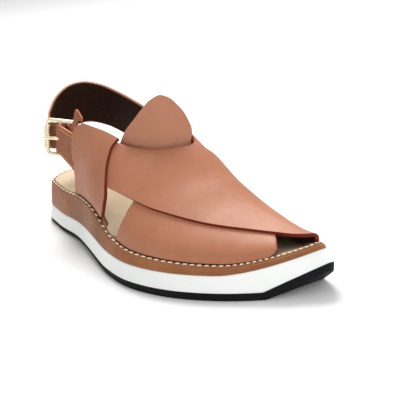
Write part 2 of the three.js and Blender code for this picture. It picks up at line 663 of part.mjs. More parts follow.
add('outsole', loft([
  loop(OUTSOLE_UNDERCUT + OUTSOLE_EDGE_ROUND, floorHeight),
  loop(OUTSOLE_UNDERCUT, (x) => floorHeight(x) + OUTSOLE_EDGE_ROUND),
  loop(0, outsoleTop),
]), MATERIALS.rubber);
add('midsole', loft([
  loop(0, (x) => outsoleTop(x) + CLEARANCE),
  loop(toeFlare, midsoleTop),
]), MATERIALS.foam);
add('footbed', loft([
  loop(toeFlare, (x) => midsoleTop(x) + CLEARANCE),
  loop(rimInset, rimHeight),
  loop(recessInset, rimHeight),
  loop(recessInset, (x) => rimHeight(x) - RECESS_DEPTH),
]), MATERIALS.rimLeather);
add('insole', loft([
  loop(insoleInset, (x) => rimHeight(x) - RECESS_DEPTH + CLEARANCE),
  loop(insoleInset, (x) => rimHeight(x) - RECESS_DEPTH + CLEARANCE + INSOLE_THICKNESS),
]), MATERIALS.insoleLeather);
add('upper', join([crossStrap('under'), crossStrap('over'), quarter('outer'), quarter('inner')]),
  MATERIALS.upperLeather);
add('tongue', tongue(), MATERIALS.upperLeather);
add('heel_strap', heelStrap(), MATERIALS.liningLeather);
add('buckle_tab', buckleTab(), MATERIALS.upperLeather);
add('buckle_frame', buckleFrame(), MATERIALS.brass);
add('buckle_roller', buckleRoller(), MATERIALS.brass);
add('buckle_prong', buckleProng(), MATERIALS.brass);

export default group;
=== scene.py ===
# %% [markdown]
# Peshawari chappal, right foot
#
# A closed-instep sandal: two wide leather straps cross over the foot, two quarters stand beside the
# ankle, a tongue stands in front of the shin, and a lined heel strap closes at a roller buckle.
# The CAD model gives every place. This lesson dresses it: each solid that shows gets a smooth piece
# made from the same few tables, and each material gets the grain, edge colour and thread of the real one.

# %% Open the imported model
import math
import bpy
import mathutils
import numpy as np
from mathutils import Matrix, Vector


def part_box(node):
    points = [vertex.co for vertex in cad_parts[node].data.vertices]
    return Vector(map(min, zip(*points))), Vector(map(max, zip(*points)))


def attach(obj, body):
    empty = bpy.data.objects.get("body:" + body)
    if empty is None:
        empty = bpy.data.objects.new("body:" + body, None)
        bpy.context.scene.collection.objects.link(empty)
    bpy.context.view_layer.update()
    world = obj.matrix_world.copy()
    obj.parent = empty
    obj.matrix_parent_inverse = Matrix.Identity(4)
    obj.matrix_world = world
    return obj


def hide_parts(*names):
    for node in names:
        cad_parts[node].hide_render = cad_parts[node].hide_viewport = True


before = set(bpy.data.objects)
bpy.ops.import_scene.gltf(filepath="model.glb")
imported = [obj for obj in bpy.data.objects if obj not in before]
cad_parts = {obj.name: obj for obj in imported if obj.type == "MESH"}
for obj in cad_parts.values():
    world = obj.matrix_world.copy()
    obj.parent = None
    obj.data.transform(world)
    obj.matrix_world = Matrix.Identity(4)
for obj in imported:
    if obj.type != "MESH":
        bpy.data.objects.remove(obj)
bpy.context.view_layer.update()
LENGTH, BALL = 290.0, 102.7

# %% [markdown]
# ## The tables of the last
#
# A shoemaker works on a last, a wooden foot. All the leather lies on one curved surface here too:
# a table gives the sole's outline, another its layers, another the height of the foot. A smooth
# curve through a short table is easier to correct than a mesh full of loose points.

# %% Read a column of a table as a smooth curve
def follow(rows, column):
    table = np.array(rows, float)
    keys, values = table[:, 0], table[:, column]
    slope = np.diff(values) / np.diff(keys)
    product = slope[:-1] * slope[1:]
    total = slope[:-1] + slope[1:]
    inner = np.where(product > 0, 2 * product / np.where(total == 0, 1, total), 0)
    ends = np.concatenate([[0], inner, [0]])

    def read(at):
        at = np.clip(np.asarray(at, float), keys[0], keys[-1])
        i = np.clip(np.searchsorted(keys, at, side="right") - 1, 0, len(keys) - 2)
        span = keys[i + 1] - keys[i]
        t = (at - keys[i]) / span
        rise = values[i + 1] - values[i]
        a, b = ends[i] * span, ends[i + 1] * span
        return values[i] + t * (a + t * (3 * rise - 2 * a - b + t * (a + b - 2 * rise)))
    return read


def smooth(t):
    t = np.clip(t, 0, 1)
    return t * t * (3 - 2 * t)


def lerp(a, b, t):
    return a + (b - a) * t

# %% The sole's outline and layers
# share of the length, share of the ball width with the outer side negative
OUTLINE = np.array([
    (0, 0), (0.052, -0.25), (0.138, -0.32), (0.276, -0.376), (0.414, -0.47), (0.545, -0.552),
    (0.645, -0.566), (0.759, -0.48), (0.862, -0.3), (0.938, -0.078), (0.982, 0.1), (1, 0.195),
    (0.982, 0.265), (0.9, 0.33), (0.69, 0.425), (0.552, 0.415), (0.35, 0.322), (0.138, 0.31),
    (0.052, 0.225)]) * [LENGTH, BALL]
TOE_ROW = 11
# along, share from heel to ball thickness, wedge thickness
LAYERS = [(0, 0, 17), (0.14, 0, 17), (0.3, 0.2, 17.28), (0.38, 0.5, 17.4), (0.56, 1, 8.82),
          (0.66, 1, 6.4), (1, 1, 4.4)]
ball_share, wedge = follow(LAYERS, 1), follow(LAYERS, 2)


def catmull(points, t, closed):
    """Places on a centripetal curve, t from 0 to 1 over all its spans"""
    n = len(points)
    at = np.asarray(t, float) * (n if closed else n - 1)
    i = np.floor(at).astype(int)
    w = at - i
    if closed:
        p = [points[(i + k) % n] for k in (-1, 0, 1, 2)]
    else:
        i = np.minimum(i, n - 2)
        w = at - i
        padded = np.vstack([2 * points[0] - points[1], points, 2 * points[-1] - points[-2]])
        p = [padded[i + k] for k in range(4)]
    d = [np.maximum(np.linalg.norm(p[k + 1] - p[k], axis=-1)[..., None] ** 0.5, 1e-4) for k in range(3)]
    t1 = ((p[1] - p[0]) / d[0] - (p[2] - p[0]) / (d[0] + d[1]) + (p[2] - p[1]) / d[1]) * d[1]
    t2 = ((p[2] - p[1]) / d[1] - (p[3] - p[1]) / (d[1] + d[2]) + (p[3] - p[2]) / d[2]) * d[1]
    w = w[..., None]
    square = -3 * p[1] + 3 * p[2] - 2 * t1 - t2
    cube = 2 * p[1] - 2 * p[2] + t1 + t2
    return p[1] + t1 * w + square * w ** 2 + cube * w ** 3


ARCH_RISE, ARCH_PLACE, ARCH_HALF = 2.4, 0.36, 0.2
TOE_SPRING, SPRING_START, SPRING_POWER, TREAD_BEND = 14.5, 0.84, 1.8, 0.922
OUTSOLE_HEEL, OUTSOLE_BALL = 3.6, 5
MIDSOLE_HEEL, MIDSOLE_BALL = 9.2, 10.2


def sole_curve(x, start, power):
    along = np.clip(x / LENGTH, 0, 1)
    arch = ARCH_RISE * np.cos(np.minimum(abs(along - ARCH_PLACE) / ARCH_HALF, 1) * math.pi / 2) ** 2
    return arch + TOE_SPRING * np.clip((along - start) / (1 - start), 0, 1) ** power


def thickness(x, heel, ball):
    return lerp(heel, ball, ball_share(x / LENGTH))


def floor_height(x):
    """The tread bends up at the toe in one straight slope"""
    return sole_curve(x, TREAD_BEND, 1)


def outsole_top(x):
    return floor_height(x) + thickness(x, OUTSOLE_HEEL, OUTSOLE_BALL)


def midsole_top(x):
    layers = thickness(x, OUTSOLE_HEEL, OUTSOLE_BALL), thickness(x, MIDSOLE_HEEL, MIDSOLE_BALL)
    return sole_curve(x, SPRING_START, SPRING_POWER) + layers[0] + layers[1]


def rim_height(x):
    return midsole_top(x) + wedge(x / LENGTH)


MIDSOLE_FLARE, TOE_FLARE = 2.4, 2.2


def toe_flare(x):
    return MIDSOLE_FLARE + TOE_FLARE * smooth((x / LENGTH - 0.93) / 0.07)


SIDE = 160
half = np.arange(SIDE) / SIDE
turns = np.concatenate([half * TOE_ROW / 19, TOE_ROW / 19 + half * (1 - TOE_ROW / 19)])
stations = catmull(OUTLINE, turns, True)
tangent = catmull(OUTLINE, turns + 1e-4, True) - catmull(OUTLINE, turns - 1e-4, True)
tangent /= np.linalg.norm(tangent, axis=1)[:, None]
outward = np.column_stack([tangent[:, 1], -tangent[:, 0]])
from_toe = stations - [0.875 * LENGTH, 0.13 * BALL]
from_toe /= np.linalg.norm(from_toe, axis=1)[:, None]
outward = lerp(outward, from_toe, smooth((stations[:, 0] / LENGTH - 0.88) / 0.08)[:, None])
outward /= np.linalg.norm(outward, axis=1)[:, None]


# The tables start at the heel's back; the CAD's origin is under the middle of the shoe
outsole_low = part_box("outsole")[0]
SHIFT = np.array([outsole_low[0] * 1000, outsole_low[1] * 1000 - stations[:, 1].min(), 0.0])


def loop(inset, height):
    """One closed line round the sole, inset from its outline; inset and height may be functions of x"""
    by = inset(stations[:, 0]) if callable(inset) else inset
    place = stations - outward * np.reshape(by, (-1, 1)) if np.ndim(by) else stations - outward * by
    return np.column_stack([place, height(place[:, 0])])


print("outline stations", len(stations), "rim height at heel and ball", rim_height(20), rim_height(200))

# %% The form that the straps lie on
# along, crown's height as a share of the instep's rise, side place of the crown, bulge of the inner side
LAST = [(0.14, 1.7, 0, 0.055), (0.34, 1.24, 0.02, 0.06), (0.45, 1, 0.05, 0.045), (0.55, 0.87, 0.066, 0.008),
        (0.655, 0.567, 0.085, 0), (0.76, 0.361, 0.12, 0), (0.86, 0.241, 0.16, 0), (0.95, 0.085, 0.19, 0),
        (1, 0.03, 0.21, 0)]
INSTEP_RISE = 54.0
crown, ridge, swell = follow(LAST, 1), follow(LAST, 2), follow(LAST, 3)
STRAP_INSET = 8.2
standing = loop(lambda x: STRAP_INSET + toe_flare(x) - MIDSOLE_FLARE, lambda x: x * 0)


def side_line(points):
    keep = np.concatenate([[True], np.diff(np.maximum.accumulate(points[:, 0])) > 1e-6])
    points = points[keep]
    return lambda x: np.interp(x, points[:, 0], points[:, 1])


outer_line = side_line(standing[:SIDE + 1])
inner_line = side_line(np.vstack([standing[:1], standing[SIDE:][::-1]]))


def on_last(x, across):
    """A place on the foot's form; across is 0 at the outer rim, 1 at the inner rim"""
    along = x / LENGTH
    middle = ridge(along) * BALL
    reach = np.where(across < 0.5, middle - outer_line(x), inner_line(x) - middle)
    turn = np.cos(across * math.pi)
    steep = np.where(across < 0.5, 1, lerp(0.6, 1, smooth((along - 0.45) / 0.3)))
    side = np.sign(turn) * abs(turn) ** steep
    bulge = np.where(across < 0.5, 0, -swell(along) * BALL * np.sin(2 * across * math.pi))
    z = rim_height(x) + 0.7 + INSTEP_RISE * crown(along) * np.sin(across * math.pi)
    return np.stack([x, middle - reach * side + bulge, z], axis=-1)


def across_at(x, height):
    return np.arcsin(np.clip(height / (INSTEP_RISE * crown(x / LENGTH)), 0, 1)) / math.pi


print("crown over the ball in mm", round(float(on_last(np.array(190.0), np.array(0.5))[2]), 1))

# %% [markdown]
# ## Turning places into pieces
#
# Leather is a sheet with a thickness and a rounded edge. One helper lays a grid of places on a
# curved surface, gives it an upper and a lower face, and rounds the rim where they meet. It also
# notes on each point how near the cut edge is and whether it is the lining side, so that one
# material can colour the edge (a stain on most leathers, a painted highlight on the strap leather) and line
# the back.

# %% Mesh helpers
def new_piece(name, points, faces, material, notes=None, flat=()):
    """A mesh object in metres in the frame of the CAD, smooth shaded"""
    mesh = bpy.data.meshes.new(name)
    mesh.from_pydata(((np.asarray(points, float) + SHIFT) / 1000).tolist(), [], faces)
    mesh.update()
    mesh.shade_smooth()
    for key, values in (notes or {}).items():
        layer = mesh.attributes.new(key, "FLOAT", "POINT")
        layer.data.foreach_set("value", np.asarray(values, np.float32))
    piece = bpy.data.objects.new(name, mesh)
    bpy.context.collection.objects.link(piece)
    mesh.materials.append(material)
    print(name, len(mesh.polygons), "faces")
    return piece


def keep(piece, slot, *nodes):
    """Let a finished piece ride on the shoe, and stand for CAD nodes where it does"""
    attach(piece, "root")
    if nodes:
        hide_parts(*nodes)
    return piece


def edge_rows(width, radius, count):
    """Shares from 0 to 1 over a width, close together at both edges where the leather rounds off"""
    near = np.array([0, 0.06, 0.22, 0.5, 1]) * radius / width
    return np.concatenate([near, np.linspace(near[-1], 1 - near[-1], count + 2)[1:-1], 1 - near[::-1]])


def leather_sheet(name, place, size, thickness, material, lift=None, level=0.0, round_edge=0.9,
                  counts=(90, 40), flip=False):
    """A leather piece over place(u, v), with rounded edges all round"""
    us = edge_rows(size[0], round_edge, counts[0])
    vs = edge_rows(size[1], round_edge, counts[1])
    u, v = np.meshgrid(us, vs, indexing="ij")
    middle = place(u, v)
    step = 2e-3
    du = place(np.minimum(u + step, 1), v) - place(np.maximum(u - step, 0), v)
    dv = place(u, np.minimum(v + step, 1)) - place(u, np.maximum(v - step, 0))
    out = np.cross(du, dv)
    out /= np.maximum(np.linalg.norm(out, axis=-1), 1e-9)[..., None]
    if flip:
        out = -out
    raised = level + (lift(middle) if lift else 0)
    middle = middle + out * np.reshape(raised, np.shape(raised) + (1,) * (3 - np.ndim(raised)))
    from_edge = np.minimum(np.minimum(u, 1 - u) * size[0], np.minimum(v, 1 - v) * size[1])
    swell = np.sqrt(np.clip(1 - (1 - np.minimum(from_edge / round_edge, 1)) ** 2, 0, 1))
    above = middle + out * (swell * thickness / 2)[..., None]
    below = middle - out * (swell * thickness / 2)[..., None]
    return closed_sheet(name, above, below, from_edge, material, flip)


def closed_sheet(name, above, below, from_edge, material, flip):
    rows, cols = above.shape[:2]
    index = np.arange(rows * cols).reshape(rows, cols)
    rim = np.zeros((rows, cols), bool)
    rim[0], rim[-1], rim[:, 0], rim[:, -1] = True, True, True, True
    under = index.copy()
    under[~rim] = rows * cols + np.arange((~rim).sum())
    points = np.vstack([above.reshape(-1, 3), below[~rim]])
    edge = np.exp(-np.concatenate([from_edge.reshape(-1), from_edge[~rim]]) / 0.55)
    back = np.concatenate([np.zeros(rows * cols), np.ones((~rim).sum())])
    faces = []
    for grid, turned in ((index, flip), (under, not flip)):
        corners = [grid[:-1, :-1], grid[1:, :-1], grid[1:, 1:], grid[:-1, 1:]]
        quads = np.stack(corners, axis=-1).reshape(-1, 4)
        faces += (quads[:, ::-1] if turned else quads).tolist()
    return new_piece(name, points, faces, material, {"edge": edge, "back": back})


def loft(name, loops, material, notes=None):
    """A solid through closed loops, capped by strips from side to side"""
    n = len(loops[0])
    faces = []
    i = np.arange(n)
    for k in range(len(loops) - 1):
        a, b = k * n + i, k * n + (i + 1) % n
        faces += np.stack([a, b, b + n, a + n], axis=-1).tolist()
    for base, up in ((0, False), ((len(loops) - 1) * n, True)):
        for j in range(n // 2):
            ring = [base + j, base + j + 1, base + (n - j - 1) % n, base + (n - j) % n]
            ring = list(dict.fromkeys(ring))
            faces.append(ring if up else ring[::-1])
    return new_piece(name, np.vstack(loops), faces, material, notes)


def tube(name, path, radius, material, closed=False, sides=20, out=(0, 0, 1), notes=None):
    """A round bar along a path; radius may differ from point to point"""
    path = np.asarray(path, float)
    radius = np.broadcast_to(np.asarray(radius, float), (len(path),))
    ahead = np.roll(path, -1, 0) - np.roll(path, 1, 0)
    if not closed:
        ahead[0], ahead[-1] = path[1] - path[0], path[-1] - path[-2]
    ahead /= np.linalg.norm(ahead, axis=1)[:, None]
    side = np.asarray(out, float)
    rings = []
    angle = np.arange(sides) / sides * 2 * math.pi
    for p, a, r in zip(path, ahead, radius):
        side = side - a * (side @ a)
        side = side / np.linalg.norm(side)
        up = np.cross(a, side)
        rings.append(p + r * (np.outer(np.cos(angle), side) + np.outer(np.sin(angle), up)))
    n = len(path)
    faces = []
    for k in range(n if closed else n - 1):
        for j in range(sides):
            a, b = k * sides + j, k * sides + (j + 1) % sides
            c, d = ((k + 1) % n) * sides + (j + 1) % sides, ((k + 1) % n) * sides + j
            faces.append([a, b, c, d])
    if not closed:
        faces.append(list(range(sides))[::-1])
        faces.append([(n - 1) * sides + j for j in range(sides)])
    return new_piece(name, np.vstack(rings), faces, material, notes)

# %% [markdown]
# ## Finishes
#
# The upper is smooth tan leather with a soft satin light on it, a fine grain that only shows close up,
# and cut edges stained dark red; on the heel strap and the tab the pale pink edge colour is a painted
# highlight of edges catching the light. The back of each strap is a matte lining. Object coordinates carry
# the grain, so it runs through a whole piece at one scale, and two attributes place the edge colour and
# lining.

# %% Node helpers
def new_finish(name):
    finish = bpy.data.materials.new(name)
    finish.use_nodes = True
    tree = finish.node_tree
    shader = tree.nodes["Principled BSDF"]
    coords = tree.nodes.new("ShaderNodeTexCoord")
    return finish, tree, shader, coords.outputs["Object"]


def noise(tree, coords, scale, detail=4.0, rough=0.55, stretch=None):
    texture = tree.nodes.new("ShaderNodeTexNoise")
    texture.inputs["Scale"].default_value = scale
    texture.inputs["Detail"].default_value = detail
    texture.inputs["Roughness"].default_value = rough
    if stretch:
        mapping = tree.nodes.new("ShaderNodeMapping")
        mapping.inputs["Scale"].default_value = stretch
        tree.links.new(coords, mapping.inputs["Vector"])
        coords = mapping.outputs["Vector"]
    tree.links.new(coords, texture.inputs["Vector"])
    return texture.outputs["Fac"]


def cells(tree, coords, scale):
    texture = tree.nodes.new("ShaderNodeTexVoronoi")
    texture.feature = "SMOOTH_F1"
    texture.inputs["Scale"].default_value = scale
    texture.inputs["Smoothness"].default_value = 0.4
    tree.links.new(coords, texture.inputs["Vector"])
    return texture.outputs["Distance"]


def spread(tree, value, low, high, to_low=0.0, to_high=1.0):
    node = tree.nodes.new("ShaderNodeMapRange")
    for key, number in (("From Min", low), ("From Max", high), ("To Min", to_low), ("To Max", to_high)):
        node.inputs[key].default_value = number
    tree.links.new(value, node.inputs["Value"])
    return node.outputs["Result"]


def blend_colour(tree, share, first, second):
    node = tree.nodes.new("ShaderNodeMix")
    node.data_type = "RGBA"
    tree.links.new(share, node.inputs["Factor"])
    for socket, colour in ((node.inputs["A"], first), (node.inputs["B"], second)):
        if isinstance(colour, tuple):
            socket.default_value = (*colour, 1)
        else:
            tree.links.new(colour, socket)
    return node.outputs["Result"]


def combine(tree, kind, first, second):
    node = tree.nodes.new("ShaderNodeMath")
    node.operation = kind
    for socket, value in zip(node.inputs, (first, second)):
        if isinstance(value, (int, float)):
            socket.default_value = value
        else:
            tree.links.new(value, socket)
    return node.outputs["Value"]


def relief(tree, shader, height, strength, distance, under=None):
    bump = tree.nodes.new("ShaderNodeBump")
    bump.inputs["Strength"].default_value = strength
    bump.inputs["Distance"].default_value = distance
    tree.links.new(height, bump.inputs["Height"])
    if under:
        tree.links.new(under, bump.inputs["Normal"])
    tree.links.new(bump.outputs["Normal"], shader.inputs["Normal"])
    return bump.outputs["Normal"]


def note(tree, name):
    node = tree.nodes.new("ShaderNodeAttribute")
    node.attribute_name = name
    return node.outputs["Fac"]


def linear(red, green, blue):
    """A colour given as 0 to 255, turned into the light values that shaders use"""
    shares = [c / 255 for c in (red, green, blue)]
    return tuple(round(c / 12.92 if c < 11 / 255 else ((c + 0.055) / 1.055) ** 2.4, 4) for c in shares)

# %% Leather with a grain, a stained edge (a painted highlight on the strap leather) and a lined back
def leather(name, light, dark, edge, back, rough=0.52, grain=0.12, shine=0.2):
    finish, tree, shader, coords = new_finish(name)
    clouds = noise(tree, coords, 22, 3)
    fine = noise(tree, coords, 260, 5, 0.6)
    pores = cells(tree, coords, 900)
    mottled = combine(tree, "ADD", combine(tree, "MULTIPLY", clouds, 0.75),
                      combine(tree, "MULTIPLY", fine, 0.25))
    colour = blend_colour(tree, spread(tree, mottled, 0.36, 0.66), dark, light)
    lined = blend_colour(tree, spread(tree, fine, 0.35, 0.65), tuple(c * 0.75 for c in back), back)
    colour = blend_colour(tree, spread(tree, note(tree, "back"), 0.3, 0.7), colour, lined)
    # the cut edge's colour: a stain on most leathers, and on the strap leather a painted highlight of lit
    # top edges
    ragged = combine(tree, "ADD", note(tree, "edge"), spread(tree, fine, 0.3, 0.7, -0.08, 0.08))
    edge_stain_and_highlight = spread(tree, ragged, 0.3, 0.62)
    colour = blend_colour(tree, edge_stain_and_highlight, colour, edge)
    tree.links.new(colour, shader.inputs["Base Color"])
    tree.links.new(spread(tree, mottled, 0.35, 0.65, rough + 0.08, rough - 0.06), shader.inputs["Roughness"])
    shader.inputs["Specular IOR Level"].default_value = shine
    shader.inputs["Coat Weight"].default_value = shine * 0.2
    shader.inputs["Coat Roughness"].default_value = 0.35
    height = combine(tree, "ADD", combine(tree, "MULTIPLY", pores, 0.5),
                     combine(tree, "MULTIPLY", fine, 0.6))
    relief(tree, shader, height, grain, 0.0004)
    return finish


TAN = leather("tan_leather", linear(175, 116, 86), linear(163, 104, 75),
              linear(110, 34, 17), linear(70, 40, 28))
TONGUE_TAN = leather("tongue_leather", linear(182, 127, 100), linear(172, 116, 89),
                     linear(176, 112, 82), linear(92, 60, 44))
RIM_TAN = leather("rim_leather", linear(154, 98, 58), linear(122, 73, 40),
                  linear(154, 98, 58), linear(122, 73, 40), 0.55, 0.35)
INSOLE = leather("insole_leather", linear(200, 178, 146), linear(190, 164, 130),
                 linear(180, 146, 100), linear(180, 146, 100), 0.65, 0.15)
# heel strap and tab leather; its pale pink cut edge colour is a painted highlight of edges catching the
# light
STRAP_TAN_LIT_EDGE = leather("strap_leather_lit_edge", linear(152, 98, 70), linear(138, 84, 58),
                    linear(212, 120, 88), linear(230, 196, 158))
LINING = leather("heel_lining", linear(62, 36, 24), linear(34, 18, 12),
                 linear(66, 34, 22), linear(44, 24, 16), 0.85, 1.0, 0.1)

# %% [markdown]
# ## Sole finishes
#
# The white midsole is moulded foam with very fine level lines; the outsole is dark rubber. Both are
# matte. The lines are a wave on Object coordinates, so they lie level all round the shoe.

# %% Foam, rubber, thread and metal
def foam_finish():
    finish, tree, shader, coords = new_finish("white_foam")
    fine = noise(tree, coords, 500, 4, 0.6)
    soft = noise(tree, coords, 14, 2)
    wave = tree.nodes.new("ShaderNodeTexWave")
    wave.bands_direction = "Z"
    wave.inputs["Scale"].default_value = 260
    wave.inputs["Distortion"].default_value = 0.6
    tree.links.new(coords, wave.inputs["Vector"])
    colour = blend_colour(tree, spread(tree, soft, 0.35, 0.65), linear(228, 230, 228), linear(238, 240, 238))
    tree.links.new(colour, shader.inputs["Base Color"])
    shader.inputs["Roughness"].default_value = 0.62
    height = combine(tree, "ADD", combine(tree, "MULTIPLY", wave.outputs["Fac"], 0.5), fine)
    relief(tree, shader, height, 0.18, 0.0003)
    return finish


def rubber_finish():
    finish, tree, shader, coords = new_finish("dark_rubber")
    fine = noise(tree, coords, 420, 4, 0.6)
    colour = blend_colour(tree, spread(tree, fine, 0.35, 0.65), linear(14, 14, 16), linear(21, 21, 24))
    tree.links.new(colour, shader.inputs["Base Color"])
    tree.links.new(spread(tree, fine, 0.3, 0.7, 0.7, 0.85), shader.inputs["Roughness"])
    shader.inputs["Specular IOR Level"].default_value = 0.15
    relief(tree, shader, fine, 0.3, 0.0003)
    return finish


def thread_finish(name, light, dark):
    finish, tree, shader, coords = new_finish(name)
    twist = noise(tree, coords, 1800, 2, 0.5, (1, 1, 3))
    colour = blend_colour(tree, spread(tree, twist, 0.35, 0.65), dark, light)
    tree.links.new(colour, shader.inputs["Base Color"])
    shader.inputs["Roughness"].default_value = 0.6
    relief(tree, shader, twist, 0.4, 0.0002)
    return finish


def metal_finish():
    finish, tree, shader, coords = new_finish("pale_brass")
    rub = noise(tree, coords, 160, 4, 0.6)
    colour = blend_colour(tree, spread(tree, rub, 0.35, 0.7), linear(240, 226, 186), linear(252, 246, 226))
    tree.links.new(colour, shader.inputs["Base Color"])
    shader.inputs["Metallic"].default_value = 1.0
    tree.links.new(spread(tree, rub, 0.3, 0.7, 0.26, 0.4), shader.inputs["Roughness"])
    relief(tree, shader, rub, 0.05, 0.0002)
    return finish


FOAM, RUBBER, BRASS = foam_finish(), rubber_finish(), metal_finish()
CREAM = thread_finish("cream_thread", linear(246, 240, 226), linear(226, 214, 190))
GOLD = thread_finish("golden_thread", linear(225, 175, 95), linear(190, 135, 65))
# needle holes and the tab's pin hole are small dark brown marks: painted shade in the holes
HOLE_SHADE = thread_finish("needle_hole_shade", linear(96, 56, 34), linear(70, 38, 24))
print("finishes", [m.name for m in bpy.data.materials])

# %% [markdown]
# ## Thread
#
# A seam repeats one stitch, so Geometry Nodes sew it. Every seam is a row of points that know which way
# the seam runs, which way is out and how long their stitch is. The tree puts a rounded stitch on each
# point, with a little chance in its turn and thickness, and between two stitches a small dark dent of
# painted shade for the needle hole.

# %% The sewing tree
def sewing_tree():
    tree = bpy.data.node_groups.new("sewing", "GeometryNodeTree")
    sockets = tree.interface
    sockets.new_socket("Geometry", in_out="INPUT", socket_type="NodeSocketGeometry")
    for label, kind, value in (("Thread Share", "Float", 0.7), ("Thickness", "Float", 0.0011),
                               ("Hole Size", "Float", 0.0005), ("Tilt", "Float", 0.0), ("Seed", "Int", 7),
                               ("Thread", "Material", None), ("Needle Hole Shade", "Material", None)):
        socket = sockets.new_socket(label, in_out="INPUT", socket_type="NodeSocket" + kind)
        if value is not None:
            socket.default_value = value
    sockets.new_socket("Geometry", in_out="OUTPUT", socket_type="NodeSocketGeometry")

    def add(kind, **inputs):
        node = tree.nodes.new(kind)
        for key, value in inputs.items():
            socket = node.inputs[key.replace("_", " ")]
            if isinstance(value, bpy.types.NodeSocket):
                tree.links.new(value, socket)
            else:
                socket.default_value = value
        return node

    def point_note(label, kind="FLOAT_VECTOR"):
        node = add("GeometryNodeInputNamedAttribute", Name=label)
        node.data_type = kind
        return node.outputs["Attribute"]

    def product(first, second):
        node = tree.nodes.new("ShaderNodeMath")
        node.operation = "MULTIPLY"
        for socket, value in zip(node.inputs, (first, second)):
            if isinstance(value, float):
                socket.default_value = value
            else:
                tree.links.new(value, socket)
        return node.outputs[0]

    given = tree.nodes.new("NodeGroupInput").outputs
    out = point_note("out")
    chance = add("FunctionNodeRandomValue", Seed=given["Seed"])
    chance.data_type = "FLOAT"
    chance.inputs[2].default_value, chance.inputs[3].default_value = -0.08, 0.08
    turn = tree.nodes.new("ShaderNodeMath")
    tree.links.new(given["Tilt"], turn.inputs[0])
    tree.links.new(chance.outputs[1], turn.inputs[1])
    ahead = add("ShaderNodeVectorRotate", Vector=point_note("ahead"), Axis=out, Angle=turn.outputs[0])
    upright = add("FunctionNodeAlignRotationToVector", Vector=out)
    upright.axis = "Z"
    turned = add("FunctionNodeAlignRotationToVector", Rotation=upright.outputs[0], Vector=ahead.outputs[0])
    turned.axis, turned.pivot_axis = "X", "Z"
    grow = tree.nodes.new("ShaderNodeMath")
    grow.inputs[1].default_value = 1.0
    tree.links.new(chance.outputs[1], grow.inputs[0])
    length = product(product(point_note("pitch", "FLOAT"), given["Thread Share"]), 0.5)
    width = product(product(given["Thickness"], grow.outputs[0]), 0.5)
    size = add("ShaderNodeCombineXYZ", X=length, Y=width, Z=product(width, 0.85))
    stitch = add("GeometryNodeMeshUVSphere", Segments=10, Rings=8, Radius=1.0)
    stitches = add("GeometryNodeInstanceOnPoints", Points=given["Geometry"], Instance=stitch.outputs[0],
                   Rotation=turned.outputs[0], Scale=size.outputs[0])
    move = tree.nodes.new("ShaderNodeVectorMath")
    move.operation = "SCALE"
    tree.links.new(point_note("ahead"), move.inputs[0])
    tree.links.new(product(point_note("pitch", "FLOAT"), 0.5), move.inputs["Scale"])
    between = add("GeometryNodeSetPosition", Geometry=given["Geometry"], Offset=move.outputs[0])
    # a flat dark dent between two stitches: painted shade for the needle hole
    dent = add("GeometryNodeMeshUVSphere", Segments=8, Rings=6, Radius=1.0)
    flat = add("ShaderNodeCombineXYZ", X=given["Hole Size"], Y=given["Hole Size"],
               Z=product(given["Hole Size"], 0.3))
    holes = add("GeometryNodeInstanceOnPoints", Points=between.outputs[0], Instance=dent.outputs[0],
                Rotation=turned.outputs[0], Scale=flat.outputs[0])
    both = tree.nodes.new("GeometryNodeJoinGeometry")
    for made, finish in ((stitches, "Thread"), (holes, "Needle Hole Shade")):
        real = add("GeometryNodeRealizeInstances", Geometry=made.outputs[0])
        coloured = add("GeometryNodeSetMaterial", Geometry=real.outputs[0], Material=given[finish])
        tree.links.new(coloured.outputs[0], both.inputs[0])
    tree.links.new(both.outputs[0], tree.nodes.new("NodeGroupOutput").inputs[0])
    return tree


SEWING = sewing_tree()


def sew(name, places, ahead, out, pitch, thread, thickness=1.1, share=0.7, hole=0.5, tilt=0.0, seed=7):
    """Sew a seam through places; ahead and out are directions, pitch the length of each stitch in mm"""
    mesh = bpy.data.meshes.new(name)
    mesh.from_pydata(((np.asarray(places) + SHIFT) / 1000).tolist(), [], [])
    for label, values in (("ahead", ahead), ("out", out)):
        vectors = np.asarray(values, np.float32)
        vectors = vectors / np.linalg.norm(vectors, axis=1)[:, None]
        mesh.attributes.new(label, "FLOAT_VECTOR", "POINT").data.foreach_set("vector", vectors.ravel())
    steps = np.broadcast_to(np.asarray(pitch, np.float32), (len(mesh.vertices),)) / 1000
    mesh.attributes.new("pitch", "FLOAT", "POINT").data.foreach_set("value", np.ascontiguousarray(steps))
    seam = bpy.data.objects.new(name, mesh)
    bpy.context.collection.objects.link(seam)
    modifier = seam.modifiers.new("sewing", "NODES")
    modifier.node_group = SEWING
    values = {"Thread Share": share, "Thickness": thickness / 1000, "Hole Size": hole / 1000, "Tilt": tilt,
              "Seed": seed, "Thread": thread, "Needle Hole Shade": HOLE_SHADE}
    for item in SEWING.interface.items_tree:
        if item.in_out == "INPUT" and item.name in values:
            modifier[item.identifier] = values[item.name]
    ready = seam.evaluated_get(bpy.context.evaluated_depsgraph_get())
    sewn = bpy.data.meshes.new_from_object(ready)
    seam.modifiers.remove(modifier)
    seam.data = sewn
    sewn.shade_smooth()
    print(name, len(mesh.vertices), "stitches")
    return seam


def spaced(path, pitch):
    """Places along a path, each one pitch(x) from the last, with the way ahead at each of them"""
    steps = np.linalg.norm(np.diff(path, axis=0), axis=1)
    count = np.concatenate([[0], np.cumsum(steps / pitch((path[1:, 0] + path[:-1, 0]) / 2))])
    at = np.arange(0.5, count[-1], 1.0)
    places = np.column_stack([np.interp(at, count, path[:, k]) for k in range(3)])
    later = np.column_stack([np.interp(at + 0.3, count, path[:, k]) for k in range(3)])
    sooner = np.column_stack([np.interp(at - 0.3, count, path[:, k]) for k in range(3)])
    return places, later - sooner, pitch(places[:, 0])

